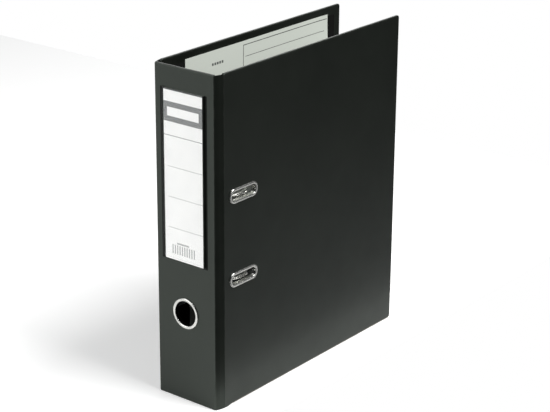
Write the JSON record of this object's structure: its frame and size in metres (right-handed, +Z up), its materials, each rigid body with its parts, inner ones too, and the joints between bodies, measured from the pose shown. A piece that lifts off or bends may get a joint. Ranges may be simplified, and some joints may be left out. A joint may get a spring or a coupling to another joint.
{
  "type": "lever arch ring binder",
  "caption": "Lever arch binder for A4 paper: film-covered boards with folding spine, rimmed cover slots, finger ring, spine label pocket and a lever that opens wire arches.",
  "frame": {"origin": "bottom centre of the bounding box of the upright, closed binder", "axes": "+Z up along the spine, +X from the back cover to the front cover, +Y from the spine to the open fore-edge"},
  "size_m": [0.0762, 0.2734, 0.318],
  "materials": {
    "film": "black film with a fine grain and a soft sheen",
    "board": "raw grey board",
    "lining": "matte black paper",
    "nickel": "bright nickel plate",
    "steel": "bright zinc plate",
    "pocket": "clear welded film",
    "label": "white card, printed with a grey band and thin rules",
    "paper": "pale grey index paper with printed rules",
    "roller": "moulded"
  },
  "bodies": {
    "back_cover": {"back_cover_film": "film", "back_cover_board": "board", "back_cover_lining": "lining", "base_plate": "steel", "base_rivet_1": "steel", "base_rivet_2": "steel", "base_rivet_3": "steel", "base_rivet_4": "steel", "lever_bracket": "steel", "lever_pivot_pin": "steel", "yoke_saddle_upper": "steel", "yoke_saddle_lower": "steel", "post_upper": "nickel", "post_lower": "nickel", "index_sheet": "paper"},
    "back_strip": {"back_hinge_strip": "film"},
    "spine": {"spine_film": "film", "spine_board": "board", "spine_lining": "lining", "finger_ring": "nickel", "label_pocket": "pocket"},
    "front_strip": {"front_hinge_strip": "film"},
    "front_cover": {"front_cover_film": "film", "front_cover_board": "board", "front_cover_lining": "lining", "slot_eyelet_upper": "nickel", "slot_eyelet_lower": "nickel"},
    "label": {"spine_label": "label"},
    "lever": {"lever": "nickel", "roller_axle": "steel"},
    "roller": {"lever_roller": "roller"},
    "arches": {"arch_yoke": "nickel"},
    "compressor": {"compressor_bar": "steel"}
  },
  "joints": [
    {"name": "back_fold", "type": "hinge", "parent": "back_cover", "child": "back_strip", "pos_m": [-0.037, -0.1263, 0.159], "axis": [0, 0, -1], "range_deg": [0, 45]},
    {"name": "back_spine_fold", "type": "hinge", "parent": "back_strip", "child": "spine", "pos_m": [-0.034, -0.1353, 0.159], "axis": [0, 0, -1], "range_deg": [0, 45]},
    {"name": "front_spine_fold", "type": "hinge", "parent": "spine", "child": "front_strip", "pos_m": [0.034, -0.1353, 0.159], "axis": [0, 0, -1], "range_deg": [0, 90]},
    {"name": "front_fold", "type": "hinge", "parent": "front_strip", "child": "front_cover", "pos_m": [0.037, -0.1263, 0.159], "axis": [0, 0, -1], "range_deg": [0, 90]},
    {"name": "label_slide", "type": "slide", "parent": "spine", "child": "label", "axis": [0, 0, 1], "range_m": [0, 0.165]},
    {"name": "lever_hinge", "type": "hinge", "parent": "back_cover", "child": "lever", "pos_m": [-0.0152, -0.1066, 0.1598], "axis": [0, 0, 1], "range_deg": [0, 76]},
    {"name": "arch_hinge", "type": "hinge", "parent": "back_cover", "child": "arches", "pos_m": [-0.0292, -0.1023, 0.1598], "axis": [0, 0, -1], "range_deg": [0, 19]},
    {"name": "roller_spin", "type": "hinge", "parent": "lever", "child": "roller", "pos_m": [-0.0232, -0.1075, 0.1598], "axis": [0, 0, 1], "continuous": true},
    {"name": "compressor_slide", "type": "slide", "parent": "back_cover", "child": "compressor", "axis": [1, 0, 0], "range_m": [0, 0.02]}
  ],
  "couplings": [
    {"joint": "back_spine_fold", "follows": "back_fold", "ratio": 1},
    {"joint": "front_fold", "follows": "front_spine_fold", "ratio": 1},
    {"joint": "arch_hinge", "follows": "lever_hinge", "ratio": 0.25}
  ]
}
